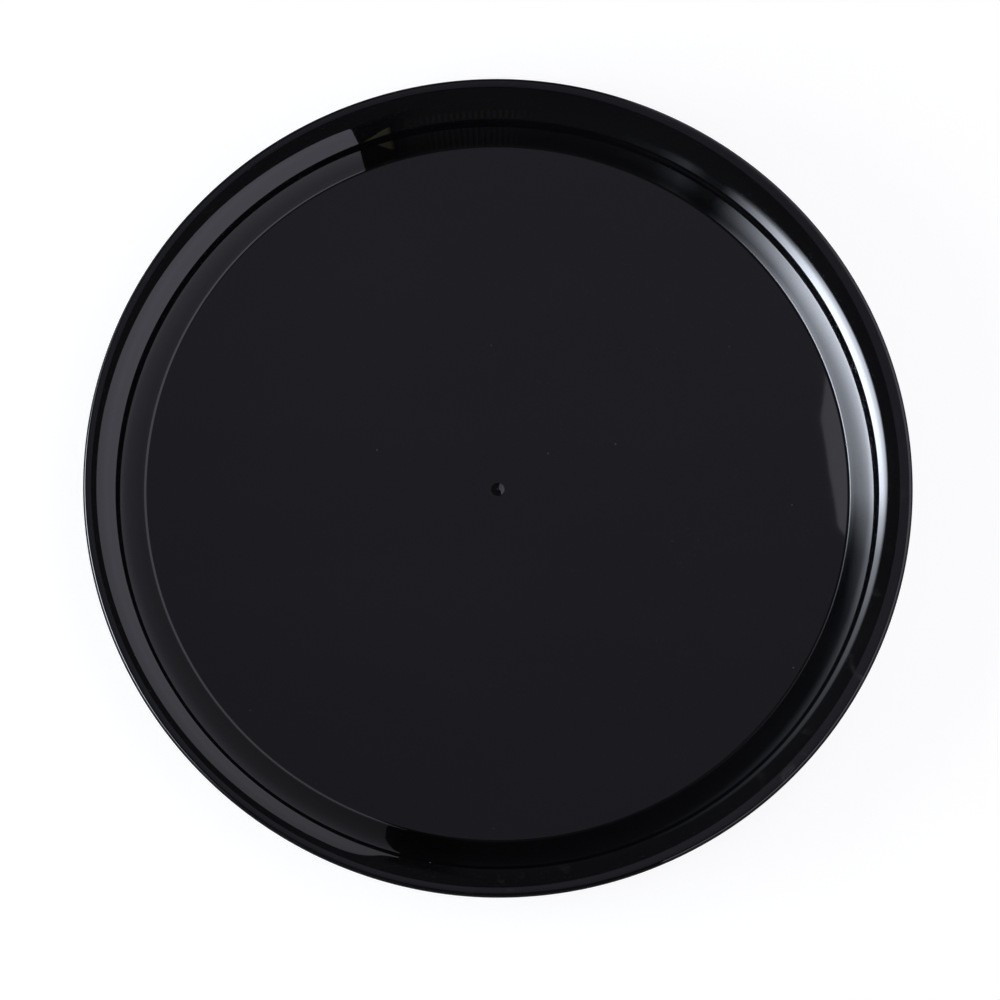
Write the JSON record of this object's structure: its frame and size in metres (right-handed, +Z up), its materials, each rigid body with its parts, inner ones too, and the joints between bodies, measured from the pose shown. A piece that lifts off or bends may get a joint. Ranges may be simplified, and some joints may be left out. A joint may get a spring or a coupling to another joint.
{
  "type": "serving tray",
  "caption": "Round one-piece catering tray with a wide flat floor, a short flared wall, a rolled rim with a turned-down lip and a small raised gate boss at the centre.",
  "frame": {"origin": "centre of the tray's flat underside, on the surface that it stands on", "axes": "+Z up out of the serving surface, along the tray's axis of revolution; +X and +Y lie in the underside"},
  "size_m": [0.4064, 0.4064, 0.0263],
  "materials": {
    "black_plastic": "gloss"
  },
  "bodies": {
    "root": {"tray": "black_plastic"}
  },
  "joints": []
}
